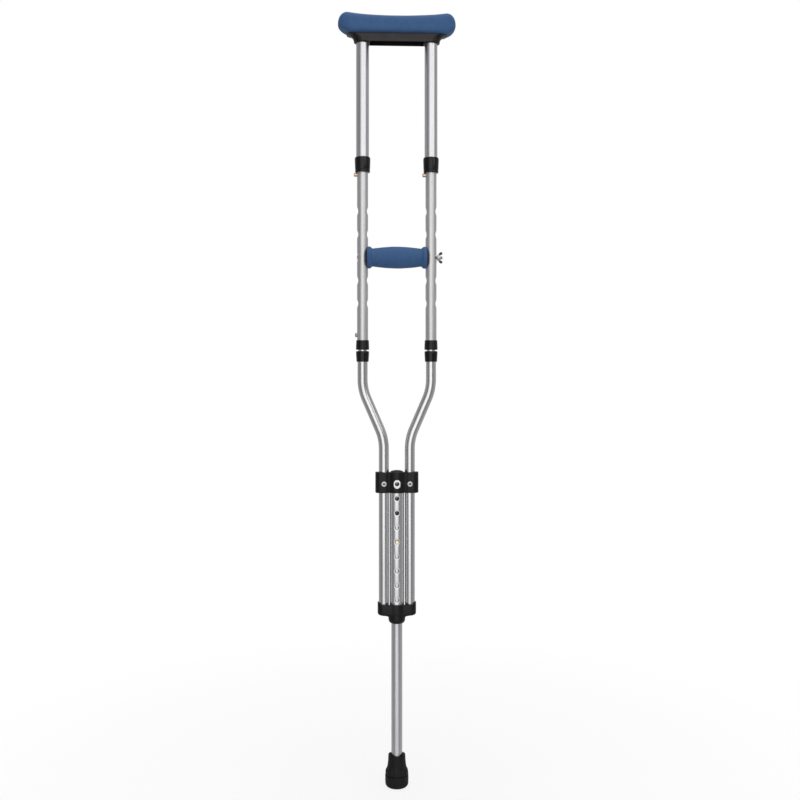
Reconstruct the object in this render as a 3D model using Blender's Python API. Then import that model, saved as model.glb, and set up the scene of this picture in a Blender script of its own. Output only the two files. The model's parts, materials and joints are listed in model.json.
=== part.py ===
"""Aluminium underarm crutch: a telescoping frame on a rubber-tipped leg.

Metres, +Z up, origin at the centre of the tip's tread. X runs across the crutch, -Y is its front.
"""

from math import atan2, cos, pi, radians, sin, tan

import bmesh
import bpy
import numpy as np
from mathutils import Matrix, Vector

# ---- driving dimensions -------------------------------------------------------------------------
CUT_PAST = 0.01          # how far a cutter runs past the piece it cuts
CUT_THROUGH = 0.03       # half length of a cutter that goes right through a tube or bracket
GAP = 0.0003             # air between pieces that touch
ROUND = 20               # sides of a tube
SMALL_ROUND = 12         # sides of a stud, bolt or hole
SPREAD = 0.0594          # centre line to the axis of an upper, mid or bow tube
LEG_SPREAD = 0.0225      # centre line to the axis of a bow tube beside the centre tube

TIP_RADIUS = 0.0202
TIP_HEIGHT = 0.0545
TIP_FLOOR = 0.014        # rubber under the leg
TIP_WASHER_THICKNESS = 0.0016

LEG_RADIUS = 0.009525
LEG_WALL = 0.0013
LEG_TOP = 0.457
HOLE_PITCH = 0.025
LEG_BUTTON_Z = 0.4245    # the hole in use
HOLES_UP = 4             # height holes above the one in use
HOLES_DOWN = 4
LEG_STUD_RADIUS = 0.0032
LEG_STUD_PROUD = 0.0035

CENTRE_RADIUS = 0.0127
CENTRE_WALL = 0.0014
CENTRE_BOTTOM = 0.2995
CENTRE_TOP = 0.5400
CAP_TOP = 0.549

TOP_BRACKET_Z = (0.5097, 0.5450)
BOTTOM_BRACKET_Z = (0.2958, 0.3190)
SLEEVE_BOTTOM = 0.2828
SLEEVE_RADIUS = 0.0143
RIVET_Z = 0.5245
RIVET_SHANK = 0.0025
RIVET_HEAD = 0.00515

BOW_RADIUS = 0.00875
BOW_WALL = 0.00085
BOW_TOP = 0.7523
BOW_BOTTOM = 0.3005
BEND_START = 0.705
BEND_RADIUS = 0.086
BEND_ANGLE = radians(23.4)

JOINER_RADIUS = 0.0076
JOINER_WALL = 0.0012
JOINER_Z = (0.7100, 0.8260)
BOW_COLLAR_Z = (0.7353, 0.7538)
MID_COLLAR_Z = (0.7560, 0.7726)
COLLAR_LIP = 0.0012
JOINT_BUTTON_Z = 0.7816

MID_RADIUS = 0.009525
MID_WALL = 0.0012
MID_BOTTOM = 0.7575
MID_TOP = 1.2100
GRIP_Z = 0.9160
GRIP_PITCH = 0.040
GRIP_HOLES = 5
STUD_RADIUS = 0.0035
STUD_PROUD = 0.0055
JOINT_STUD_PROUD = 0.0035
CLIP_WIDTH = 0.0044
CLIP_GAP = 0.0007        # the flat strip's middle stands this far off the round wall

UPPER_RADIUS = 0.0111
UPPER_WALL = 0.0012
UPPER_COLLAR_Z = (1.0630, 1.0895)
UPPER_LIP = 0.0022
UPPER_BOTTOM = 1.0655
UPPER_TOP = 1.2965

BOLT_RADIUS = 0.0030
BOLT_HOLE = 0.0033
BOLT_END = 0.0794        # centre line to the tip of the grip bolt
GRIP_RADIUS = 0.0190
GRIP_NECK = 0.0153
GRIP_HALF = 0.0520
GRIP_FLANGE = (0.0450, 0.0505)     # where the sleeve's end flange begins and where it rounds off
GRIP_BORE = 0.0110
SADDLE_RADIUS = 0.0170
SADDLE_INNER = 0.0447
SADDLE_OUTER = 0.0545
WASHER_THICKNESS = 0.0012
NUT_LENGTH = 0.0060
WING_SPAN = 0.0200
WING_REACH = 0.0088      # how far the wings stand out along the bolt
WING_THICKNESS = 0.0022

BRACKET_Z = (1.2875, 1.3010)
BRACKET_BOTTOM_HALF = 0.0745
BRACKET_TOP_HALF = 0.0870
BRACKET_DEPTH = 0.0300
BRACKET_WALL = 0.0022
BRACKET_HOLLOW_HALF = 0.0440   # half length of the hollow in its underside
PAD_HALF = 0.1020
PAD_DEPTH = 0.0460
PAD_SADDLE = 1.3320      # top of the pad at its middle
PAD_HORN = 1.3390        # top of the pad near its ends
HORN_X = 0.0860

ALONG_X = Matrix.Rotation(pi / 2, 4, "Y")       # turns +Z to +X
ALONG_FRONT = Matrix.Rotation(pi / 2, 4, "X")   # turns +Z to -Y

LOOKS = {  # base colour, roughness, metallic
    "satin aluminium": ((0.62, 0.63, 0.64), 0.34, 1.0),
    "polished aluminium": ((0.66, 0.66, 0.67), 0.20, 1.0),
    "black plastic": ((0.012, 0.011, 0.012), 0.42, 0.0),
    "blue foam": ((0.054, 0.117, 0.254), 0.75, 0.0),
    "rubber": ((0.017, 0.018, 0.018), 0.70, 0.0),
    "brass": ((0.78, 0.57, 0.24), 0.28, 1.0),
    "steel": ((0.58, 0.58, 0.58), 0.30, 1.0),
}


# ---- modelling helpers --------------------------------------------------------------------------
def clear_scene():
    for item in list(bpy.data.objects):
        bpy.data.objects.remove(item)


def material(name, look):
    colour, roughness, metallic = LOOKS[look]
    made = bpy.data.materials.new(name)
    made.use_nodes = True
    shader = made.node_tree.nodes["Principled BSDF"]
    shader.inputs["Base Color"].default_value = (*colour, 1.0)
    shader.inputs["Roughness"].default_value = roughness
    shader.inputs["Metallic"].default_value = metallic
    made.diffuse_color = (*colour, 1.0)
    return made


def add(name, bm, look, place=Matrix.Identity(4)):
    """Turn a bmesh into a named object with a material, standing at place."""
    bmesh.ops.recalc_face_normals(bm, faces=bm.faces)
    mesh = bpy.data.meshes.new(name)
    bm.to_mesh(mesh)
    bm.free()
    mesh.shade_smooth()
    mesh.set_sharp_from_angle(angle=radians(35))
    mesh.materials.append(material(name, look))
    item = bpy.data.objects.new(name, mesh)
    item.matrix_world = place
    bpy.context.collection.objects.link(item)
    return item


def turned(outline, sides=ROUND):
    """A bmesh turned about Z from (radius, height) points; the outline closes on itself."""
    bm = bmesh.new()
    corners = [bm.verts.new((radius, 0, height)) for radius, height in outline]
    edges = [bm.edges.new((a, b)) for a, b in zip(corners, corners[1:] + corners[:1])
             if a.co.x > 0 or b.co.x > 0]
    bmesh.ops.spin(bm, geom=corners + edges, cent=(0, 0, 0), axis=(0, 0, 1),
                   angle=2 * pi, steps=sides, use_merge=True)
    bmesh.ops.remove_doubles(bm, verts=bm.verts, dist=1e-6)
    return bm


def rod(radius, low, high):
    return [(0, low), (radius, low), (radius, high), (0, high)]


def pipe(outer, wall, low, high):
    return [(outer - wall, low), (outer, low), (outer, high), (outer - wall, high)]


def swept_pipe(path, outer, wall, sides=ROUND):
    """A bmesh pipe along (x, z, lean) stations in the XZ plane; lean is measured from -Z."""
    bm = bmesh.new()
    rings = []
    for x, z, lean in path:
        across = Vector((cos(lean), 0, sin(lean)))
        angles = [2 * pi * k / sides for k in range(sides)]
        for radius in (outer, outer - wall):
            points = [Vector((x, 0, z)) + radius * (cos(a) * across + sin(a) * Vector((0, 1, 0)))
                      for a in angles]
            rings.append([bm.verts.new(p) for p in points])
    outside, inside = rings[0::2], rings[1::2]
    joined = list(zip(outside, outside[1:])) + list(zip(inside, inside[1:]))
    joined += [(outside[0], inside[0]), (outside[-1], inside[-1])]
    for first, second in joined:
        for k in range(sides):
            after = (k + 1) % sides
            bm.faces.new((first[k], first[after], second[after], second[k]))
    return bm


def slab(outline, low, high):
    """A bmesh of a flat outline in the XZ plane, thickened from y = low to y = high."""
    bm = bmesh.new()
    face = bm.faces.new([bm.verts.new((x, low, z)) for x, z in outline])
    grown = bmesh.ops.extrude_face_region(bm, geom=[face])
    moved = [part for part in grown["geom"] if isinstance(part, bmesh.types.BMVert)]
    bmesh.ops.translate(bm, vec=(0, high - low, 0), verts=moved)
    return bm


def tool(name, shapes):
    """Several closed shapes in one hidden object, each a (bmesh, place) pair."""
    whole = bmesh.new()
    for shape, place in shapes:
        bmesh.ops.recalc_face_normals(shape, faces=shape.faces)
        shape.transform(place)
        scrap = bpy.data.meshes.new("scrap")
        shape.to_mesh(scrap)
        shape.free()
        whole.from_mesh(scrap)
        bpy.data.meshes.remove(scrap)
    made = add(name, whole, "steel")
    made.hide_render = True
    made.display_type = "WIRE"
    return made


def combine(item, other, operation):
    step = item.modifiers.new(operation.title(), "BOOLEAN")
    step.operation = operation
    step.object = other


def at(x=0.0, y=0.0, z=0.0):
    return Matrix.Translation((x, y, z))


def cross_hole(radius, x, z, reach):
    """A cutter along X, centred on (x, z) and reaching both ways."""
    return turned(rod(radius, -reach, reach), SMALL_ROUND), at(x, 0, z) @ ALONG_X


def side_lock(x, z):
    """Where a side button sits: +Z of the place points out of the tube, to -X."""
    return at(x, 0, z) @ Matrix.Rotation(-pi / 2, 4, "Y")


def side_lock_hole(x, z):
    return turned(rod(STUD_RADIUS + GAP, 0, CUT_THROUGH), SMALL_ROUND), side_lock(x, z)


def side_name(side):
    return "left" if side < 0 else "right"


# ---- leg and tip --------------------------------------------------------------------------------
def leg_tip():
    socket = LEG_RADIUS + GAP
    outline = [
        (0, 0), (0.0160, 0), (0.0187, 0.0022), (TIP_RADIUS, 0.0060), (TIP_RADIUS, 0.0184),
        (0.0197, 0.0192), (0.0200, 0.0225), (0.0197, 0.0255), (0.0186, 0.0288), (0.0170, 0.0320),
        (0.0161, 0.0360), (0.0155, 0.0410), (0.0150, 0.0465), (0.0149, 0.0525), (0.0138, TIP_HEIGHT),
        (socket, TIP_HEIGHT), (socket, TIP_FLOOR), (0, TIP_FLOOR),
    ]
    add("leg_tip", turned(outline, 28), "rubber")
    washer = rod(LEG_RADIUS, TIP_FLOOR + GAP, TIP_FLOOR + GAP + TIP_WASHER_THICKNESS)
    add("tip_washer", turned(washer), "steel")


def leg_tube():
    low = TIP_FLOOR + TIP_WASHER_THICKNESS + 2 * GAP
    tube = add("leg_tube", turned(pipe(LEG_RADIUS, LEG_WALL, low, LEG_TOP)), "satin aluminium")
    hole = turned(rod(LEG_STUD_RADIUS + GAP, 0, 2 * LEG_RADIUS), SMALL_ROUND)
    combine(tube, tool("leg_hole_cutter", [(hole, at(0, 0, LEG_BUTTON_Z) @ ALONG_FRONT)]),
            "DIFFERENCE")


def stud_outline(radius, foot, head):
    """A domed stud standing on a thin flange, foot to head measured from its tube's axis."""
    dome = 0.0012
    return [(0, foot), (radius + 0.0009, foot), (radius + 0.0009, foot + 0.0010),
            (radius, foot + 0.0010), (radius, head - dome), (0.6 * radius, head - 0.25 * dome),
            (0, head)]


def clip_outline(foot, bore, length):
    """A folded strip spring, seen from the side: one arm behind the stud, one on the far wall."""
    strip = 0.0005
    near, far = foot - GAP, -(bore - CLIP_GAP)
    fold = -length
    tip = 0.006
    return [(near, tip), (near, -0.25 * length), (strip, fold), (-strip, fold), (far, tip),
            (far + strip, tip), (0, fold + 0.003), (near - strip, -0.25 * length),
            (near - strip, tip)]


def snap_lock(stud_name, clip_name, place, radius, head, bore, length):
    """A stud on a folded strip spring. The place's +Z is the way the stud points."""
    foot = bore - 0.0030
    add(stud_name, turned(stud_outline(radius, foot, head), SMALL_ROUND), "brass", place)
    outline = [(-s, h) for h, s in clip_outline(foot, bore, length)]
    add(clip_name, slab(outline, -CLIP_WIDTH / 2, CLIP_WIDTH / 2), "steel", place)


def leg_lock():
    place = at(0, 0, LEG_BUTTON_Z) @ ALONG_FRONT @ Matrix.Rotation(pi / 2, 4, "Z")
    snap_lock("leg_button", "leg_clip", place, LEG_STUD_RADIUS, CENTRE_RADIUS + LEG_STUD_PROUD,
              LEG_RADIUS - LEG_WALL, 0.030)


# ---- lower frame --------------------------------------------------------------------------------
def centre_tube():
    outline = pipe(CENTRE_RADIUS, CENTRE_WALL, CENTRE_BOTTOM, CENTRE_TOP)
    tube = add("centre_tube", turned(outline), "satin aluminium")
    holes = []
    for step in range(-HOLES_DOWN, HOLES_UP + 1):
        hole = turned(rod(LEG_STUD_RADIUS + GAP, 0, 2 * CENTRE_RADIUS), SMALL_ROUND)
        holes.append((hole, at(0, 0, LEG_BUTTON_Z + step * HOLE_PITCH) @ ALONG_FRONT))
    combine(tube, tool("centre_hole_cutter", holes), "DIFFERENCE")
    plug = CENTRE_RADIUS - CENTRE_WALL - GAP
    rim = CENTRE_RADIUS - GAP
    cap = [(0, CENTRE_TOP - 0.006), (plug, CENTRE_TOP - 0.006), (plug, CENTRE_TOP + GAP),
           (rim, CENTRE_TOP + GAP), (rim, 0.5455), (0.85 * rim, CAP_TOP - 0.0010), (0, CAP_TOP)]
    add("centre_tube_cap", turned(cap), "black plastic")


def lobes(radius, low, high, spread):
    return [(turned(rod(radius, low, high), 24), at(side * spread)) for side in (-1, 1)]


def top_bracket():
    low, high = TOP_BRACKET_Z
    lobe, centre_lobe = 0.0148, 0.0168
    body = add("top_bracket", turned(rod(centre_lobe, low, high), 28), "black plastic")
    combine(body, tool("top_bracket_lobes", lobes(lobe, low, high, LEG_SPREAD)), "UNION")
    bore, bow_bore = CENTRE_RADIUS + GAP, BOW_RADIUS + GAP
    cuts = [(turned(rod(bore, low - CUT_PAST, high + CUT_PAST)), at())]
    cuts += [(turned(rod(bow_bore, low - CUT_PAST, high + CUT_PAST)), at(side * LEG_SPREAD))
             for side in (-1, 1)]
    combine(body, tool("top_bracket_bores", cuts), "DIFFERENCE")
    window = turned(rod(0.0065, 0.0115, CUT_THROUGH), 16)
    window.transform(Matrix.Diagonal((1.0, 1.2, 1.0, 1.0)))
    holes = [(window, at(0, 0, RIVET_Z) @ ALONG_FRONT)]
    holes += [(turned(rod(RIVET_SHANK + GAP, -CUT_THROUGH, CUT_THROUGH), SMALL_ROUND),
               at(side * LEG_SPREAD, 0, RIVET_Z) @ ALONG_FRONT) for side in (-1, 1)]
    combine(body, tool("top_bracket_holes", holes), "DIFFERENCE")
    face = lobe + GAP
    rivet = [(0.0014, -face - 0.0012), (0.0042, -face - 0.0012), (0.0042, -face),
             (RIVET_SHANK, -face), (RIVET_SHANK, face), (RIVET_HEAD, face),
             (RIVET_HEAD, face + 0.0006), (0.0036, face + 0.0016), (0.0014, face + 0.0016)]
    for side in (-1, 1):
        add("bracket_rivet_" + side_name(side), turned(rivet, 16), "steel",
            at(side * LEG_SPREAD, 0, RIVET_Z) @ ALONG_FRONT)


def bottom_bracket():
    low, high = BOTTOM_BRACKET_Z
    lobe, centre_lobe = 0.0108, 0.0158
    outline = [(0, SLEEVE_BOTTOM), (0.0118, SLEEVE_BOTTOM), (SLEEVE_RADIUS, SLEEVE_BOTTOM + 0.003),
               (SLEEVE_RADIUS, low - 0.001), (centre_lobe, low + 0.0006), (centre_lobe, high),
               (0, high)]
    body = add("bottom_bracket", turned(outline, 28), "black plastic")
    combine(body, tool("bottom_bracket_lobes", lobes(lobe, low, high, LEG_SPREAD)), "UNION")
    web = [(-LEG_SPREAD, low), (LEG_SPREAD, low), (LEG_SPREAD, high), (-LEG_SPREAD, high)]
    combine(body, tool("bottom_bracket_web", [(slab(web, -lobe, lobe), at())]), "UNION")
    leg_bore = LEG_RADIUS + GAP
    seat = CENTRE_BOTTOM - GAP
    bore = CENTRE_RADIUS + GAP
    stepped = [(0, SLEEVE_BOTTOM - CUT_PAST), (leg_bore, SLEEVE_BOTTOM - CUT_PAST), (leg_bore, seat),
               (bore, seat), (bore, high + CUT_PAST), (0, high + CUT_PAST)]
    cuts = [(turned(stepped), at())]
    cuts += [(turned(rod(BOW_RADIUS + GAP, BOW_BOTTOM - GAP, high + CUT_PAST)), at(side * LEG_SPREAD))
             for side in (-1, 1)]
    combine(body, tool("bottom_bracket_bores", cuts), "DIFFERENCE")


def bow_path():
    """Stations (x, z, lean) of the right bow, from its top down to its bottom."""
    drop = BEND_RADIUS * sin(BEND_ANGLE)
    shift = BEND_RADIUS * (1 - cos(BEND_ANGLE))
    run = (SPREAD - LEG_SPREAD - 2 * shift) / tan(BEND_ANGLE)
    bend_end = BEND_START - 2 * drop - run
    steps = 4
    path = [(SPREAD, BOW_TOP, 0.0)]
    for k in range(steps + 1):
        lean = BEND_ANGLE * k / steps
        path.append((SPREAD - BEND_RADIUS * (1 - cos(lean)), BEND_START - BEND_RADIUS * sin(lean),
                     -lean))
    for k in range(steps, -1, -1):
        lean = BEND_ANGLE * k / steps
        path.append((LEG_SPREAD + BEND_RADIUS * (1 - cos(lean)), bend_end + BEND_RADIUS * sin(lean),
                     -lean))
    path.append((LEG_SPREAD, BOW_BOTTOM, 0.0))
    return path


def bows():
    for side in (-1, 1):
        name = side_name(side)
        path = [(side * x, z, side * lean) for x, z, lean in bow_path()]
        tube = add("bow_tube_" + name, swept_pipe(path, BOW_RADIUS, BOW_WALL), "polished aluminium")
        hole = (turned(rod(RIVET_SHANK + GAP, -CUT_THROUGH, CUT_THROUGH), SMALL_ROUND),
                at(side * LEG_SPREAD, 0, RIVET_Z) @ ALONG_FRONT)
        combine(tube, tool("bow_hole_cutter_" + name, [hole]), "DIFFERENCE")
        low, high = BOW_COLLAR_Z
        bore, lip = BOW_RADIUS + GAP, JOINER_RADIUS + GAP
        collar = [(bore, low), (0.0103, low), (0.0114, high - 0.0020), (0.0110, high),
                  (lip, high), (lip, high - COLLAR_LIP), (bore, high - COLLAR_LIP)]
        add("bow_collar_" + name, turned(collar), "black plastic", at(side * SPREAD))
        joiner = add("joiner_tube_" + name, turned(pipe(JOINER_RADIUS, JOINER_WALL, *JOINER_Z)),
                     "polished aluminium", at(side * SPREAD))
        if side < 0:
            hole = side_lock_hole(-SPREAD, JOINT_BUTTON_Z)
            combine(joiner, tool("joiner_hole_cutter", [hole]), "DIFFERENCE")


def joint_lock():
    snap_lock("joint_button", "joint_clip", side_lock(-SPREAD, JOINT_BUTTON_Z), STUD_RADIUS,
              MID_RADIUS + JOINT_STUD_PROUD, JOINER_RADIUS - JOINER_WALL, 0.030)


# ---- upper frame --------------------------------------------------------------------------------
def upper_button_z():
    return UPPER_COLLAR_Z[0] - GAP - STUD_RADIUS


def mid_tubes():
    for side in (-1, 1):
        name = side_name(side)
        x = side * SPREAD
        tube = add("mid_tube_" + name, turned(pipe(MID_RADIUS, MID_WALL, MID_BOTTOM, MID_TOP)),
                   "satin aluminium", at(x))
        reach = 2 * MID_RADIUS
        first = GRIP_Z - GRIP_PITCH * (GRIP_HOLES // 2)
        cuts = [cross_hole(BOLT_HOLE, x, first + k * GRIP_PITCH, reach) for k in range(GRIP_HOLES)]
        locks = [upper_button_z()]
        if side < 0:
            locks.append(JOINT_BUTTON_Z)
        cuts += [side_lock_hole(x, z) for z in locks]
        combine(tube, tool("mid_hole_cutter_" + name, cuts), "DIFFERENCE")
        low, high = MID_COLLAR_Z
        bore, lip = MID_RADIUS + GAP, JOINER_RADIUS + GAP
        collar = [(lip, low), (0.0109, low), (0.0115, low + 0.0015), (0.0111, high - 0.0020),
                  (0.0106, high), (bore, high), (bore, low + COLLAR_LIP), (lip, low + COLLAR_LIP)]
        add("mid_collar_" + name, turned(collar), "black plastic", at(x))
        snap_lock("upper_button_" + name, "upper_clip_" + name, side_lock(x, upper_button_z()),
                  STUD_RADIUS, MID_RADIUS + STUD_PROUD, MID_RADIUS - MID_WALL, 0.034)


def grip():
    seat = at(0, 0, GRIP_Z) @ ALONG_X
    flange, flange_end = GRIP_FLANGE
    bulge = [(GRIP_NECK + (GRIP_RADIUS - GRIP_NECK) * cos(pi / 2 * x / 0.0430) ** 0.85, x)
             for x in np.linspace(-0.0412, 0.0412, 13)]
    outline = [(0.0183, -GRIP_HALF), (GRIP_RADIUS, -flange_end), (GRIP_RADIUS, -flange), *bulge,
               (GRIP_RADIUS, flange), (GRIP_RADIUS, flange_end), (0.0183, GRIP_HALF),
               (SADDLE_RADIUS + GAP, GRIP_HALF), (SADDLE_RADIUS + GAP, SADDLE_INNER - GAP),
               (GRIP_BORE, SADDLE_INNER - GAP), (GRIP_BORE, -SADDLE_INNER + GAP),
               (SADDLE_RADIUS + GAP, -SADDLE_INNER + GAP), (SADDLE_RADIUS + GAP, -GRIP_HALF)]
    sleeve = add("grip_sleeve", turned(outline), "blue foam", seat)
    notches = [(turned(rod(MID_RADIUS + GAP, -CUT_THROUGH, CUT_THROUGH)), at(side * SPREAD, 0, GRIP_Z))
               for side in (-1, 1)]
    notch = tool("grip_notch_cutter", notches)
    combine(sleeve, notch, "DIFFERENCE")
    core = SADDLE_INNER - GAP
    add("grip_core", turned(pipe(GRIP_BORE - GAP, GRIP_BORE - GAP - BOLT_HOLE, -core, core)),
        "black plastic", seat)
    for side in (-1, 1):
        cap = [(BOLT_HOLE, SADDLE_INNER), (SADDLE_RADIUS, SADDLE_INNER), (SADDLE_RADIUS, 0.0500),
               (0.0155, SADDLE_OUTER), (BOLT_HOLE, SADDLE_OUTER)]
        place = at(0, 0, GRIP_Z) @ Matrix.Rotation(side * pi / 2, 4, "Y")
        saddle = add("grip_saddle_" + side_name(side), turned(cap), "black plastic", place)
        combine(saddle, notch, "DIFFERENCE")


def grip_fasteners():
    seat = at(0, 0, GRIP_Z) @ ALONG_X
    wall = SPREAD + MID_RADIUS + GAP
    head = [(0, -wall - 0.0014), (0.0040, -wall - 0.0012), (0.0055, -wall), (BOLT_RADIUS, -wall),
            (BOLT_RADIUS, BOLT_END - 0.0008), (0.0024, BOLT_END), (0, BOLT_END)]
    add("grip_bolt", turned(head, 16), "steel", seat)
    washer = pipe(0.0068, 0.0068 - BOLT_HOLE, wall, wall + WASHER_THICKNESS)
    add("grip_washer", turned(washer, 16), "steel", seat)
    start = wall + WASHER_THICKNESS + GAP
    hub = [(0, 0), (0.0052, 0), (0.0046, NUT_LENGTH), (0, NUT_LENGTH)]
    nut = add("wing_nut", turned(hub, 16), "steel", at(start, 0, GRIP_Z) @ ALONG_X)
    half = WING_SPAN / 2
    wings = []
    for side in (-1, 1):
        plate = [(0.0012, 0.0030), (0.0024, 0.0058), (0.0038, half - 0.0012), (0.0062, half),
                 (WING_REACH, half - 0.0014), (WING_REACH, half - 0.0034), (0.0056, 0.0030)]
        shape = slab([(x, side * z) for x, z in plate], -WING_THICKNESS / 2, WING_THICKNESS / 2)
        wings.append((shape, at(start, 0, GRIP_Z)))
    combine(nut, tool("wing_nut_wings", wings), "UNION")
    bore = turned(rod(BOLT_HOLE, -CUT_PAST, CUT_THROUGH), SMALL_ROUND)
    combine(nut, tool("wing_nut_bore", [(bore, at(start, 0, GRIP_Z) @ ALONG_X)]), "DIFFERENCE")


# ---- underarm section ---------------------------------------------------------------------------
def upper_tubes():
    low, high = UPPER_COLLAR_Z
    bore, lip = UPPER_RADIUS + GAP, MID_RADIUS + GAP
    collar = [(lip, low), (0.0124, low), (0.0128, low + 0.0010), (0.0136, high - 0.0040),
              (0.0127, high), (bore, high), (bore, low + UPPER_LIP), (lip, low + UPPER_LIP)]
    for side in (-1, 1):
        name = side_name(side)
        add("upper_tube_" + name, turned(pipe(UPPER_RADIUS, UPPER_WALL, UPPER_BOTTOM, UPPER_TOP)),
            "satin aluminium", at(side * SPREAD))
        add("upper_collar_" + name, turned(collar), "black plastic", at(side * SPREAD))


def pad_bracket():
    low, high = BRACKET_Z
    flare = BRACKET_TOP_HALF - BRACKET_BOTTOM_HALF
    curve = [(BRACKET_BOTTOM_HALF + flare * (1 - cos(a)), low + (high - low) * sin(a))
             for a in np.linspace(0, pi / 2, 6)]
    outline = curve + [(-x, z) for x, z in reversed(curve)]
    body = add("pad_bracket", slab(outline, -BRACKET_DEPTH / 2, BRACKET_DEPTH / 2), "black plastic")
    sockets = [(turned(rod(UPPER_RADIUS + GAP, low - CUT_PAST, UPPER_TOP + GAP)), at(side * SPREAD))
               for side in (-1, 1)]
    half, roof, wall = BRACKET_HOLLOW_HALF, high - 0.0035, BRACKET_DEPTH / 2 - BRACKET_WALL
    hollow = [(-half, low - CUT_PAST), (half, low - CUT_PAST), (half, roof), (-half, roof)]
    combine(body, tool("pad_bracket_sockets", sockets + [(slab(hollow, -wall, wall), at())]),
            "DIFFERENCE")


def pad_section(x, sides):
    """One cross-section of the pad: a rounded box across Y, as a list of points."""
    reach = min(1.0, abs(x) / HORN_X)
    top = PAD_SADDLE + (PAD_HORN - PAD_SADDLE) * reach ** 2.2
    bottom = BRACKET_Z[1] + GAP
    past = max(0.0, (abs(x) - HORN_X) / (PAD_HALF - HORN_X))
    shrink = max(0.0, 1 - past ** 2) ** 0.5
    shrink = 0.45 + 0.55 * shrink
    middle = (top + bottom) / 2
    points = []
    for k in range(sides):
        angle = 2 * pi * k / sides
        across = np.sign(cos(angle)) * abs(cos(angle)) ** 0.55
        up = np.sign(sin(angle)) * abs(sin(angle)) ** 0.55
        points.append((x, PAD_DEPTH / 2 * across * shrink, middle + (top - bottom) / 2 * up * shrink))
    return points


def underarm_pad():
    sides = 16
    stations = [PAD_HALF * s for s in (-1, -0.97, -0.91, -0.82, -0.6, -0.3, 0, 0.3, 0.6, 0.82,
                                       0.91, 0.97, 1)]
    bm = bmesh.new()
    rings = [[bm.verts.new(p) for p in pad_section(x, sides)] for x in stations]
    for first, second in zip(rings, rings[1:]):
        for k in range(sides):
            after = (k + 1) % sides
            bm.faces.new((first[k], first[after], second[after], second[k]))
    bm.faces.new(rings[0])
    bm.faces.new(rings[-1])
    add("underarm_pad", bm, "blue foam")


clear_scene()
leg_tip()
leg_tube()
leg_lock()
centre_tube()
top_bracket()
bottom_bracket()
bows()
joint_lock()
mid_tubes()
grip()
grip_fasteners()
upper_tubes()
pad_bracket()
underarm_pad()
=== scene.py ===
"""Looks of the underarm crutch: fine meshes, materials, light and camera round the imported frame."""
import json
from math import atan2, cos, pi, radians, sin, sqrt, tan

import bmesh
import bpy
import numpy as np
from mathutils import Matrix, Vector, noise

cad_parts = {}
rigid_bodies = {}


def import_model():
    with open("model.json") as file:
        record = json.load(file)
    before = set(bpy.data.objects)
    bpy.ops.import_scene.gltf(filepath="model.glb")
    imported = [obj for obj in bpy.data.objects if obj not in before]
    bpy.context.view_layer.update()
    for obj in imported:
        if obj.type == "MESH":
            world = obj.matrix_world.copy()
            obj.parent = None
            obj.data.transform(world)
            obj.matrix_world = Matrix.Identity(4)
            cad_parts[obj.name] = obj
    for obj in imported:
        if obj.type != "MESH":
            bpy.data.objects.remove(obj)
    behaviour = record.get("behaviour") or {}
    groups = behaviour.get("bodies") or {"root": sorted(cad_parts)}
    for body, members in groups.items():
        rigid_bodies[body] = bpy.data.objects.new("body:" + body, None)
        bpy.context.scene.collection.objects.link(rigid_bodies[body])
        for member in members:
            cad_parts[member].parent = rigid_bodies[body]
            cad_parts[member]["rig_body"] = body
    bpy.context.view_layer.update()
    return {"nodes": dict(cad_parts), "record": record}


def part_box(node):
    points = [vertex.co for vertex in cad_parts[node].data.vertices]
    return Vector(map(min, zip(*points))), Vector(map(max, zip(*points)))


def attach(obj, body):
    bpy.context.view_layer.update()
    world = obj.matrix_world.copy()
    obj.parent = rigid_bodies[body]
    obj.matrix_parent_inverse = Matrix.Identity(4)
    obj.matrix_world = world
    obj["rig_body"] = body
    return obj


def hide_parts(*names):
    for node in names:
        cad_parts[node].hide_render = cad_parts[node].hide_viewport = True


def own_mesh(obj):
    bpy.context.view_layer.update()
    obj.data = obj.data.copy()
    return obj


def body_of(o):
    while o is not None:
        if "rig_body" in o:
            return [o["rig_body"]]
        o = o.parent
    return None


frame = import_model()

# ---- places, read from the frame ----
LOW, HIGH = 0, 1


def middle(node):
    low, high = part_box(node)
    return (low + high) / 2


def half_size(node):
    low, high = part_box(node)
    return (high - low) / 2


def heights(node):
    low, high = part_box(node)
    return low.z, high.z


SPREAD = middle("mid_tube_right").x
LEG_SPREAD = middle("bracket_rivet_right").x
GRIP_Z = middle("grip_bolt").z
RIVET_Z = middle("bracket_rivet_right").z
LEG_BUTTON_Z = middle("leg_button").z
JOINT_BUTTON_Z = middle("joint_button").z
UPPER_BUTTON_Z = middle("upper_button_left").z
LEG_RADIUS = half_size("leg_tube").y
CENTRE_RADIUS = half_size("centre_tube").y
BOW_RADIUS = half_size("bow_tube_left").y
JOINER_RADIUS = half_size("joiner_tube_left").y
MID_RADIUS = half_size("mid_tube_left").y
UPPER_RADIUS = half_size("upper_tube_left").y

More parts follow.
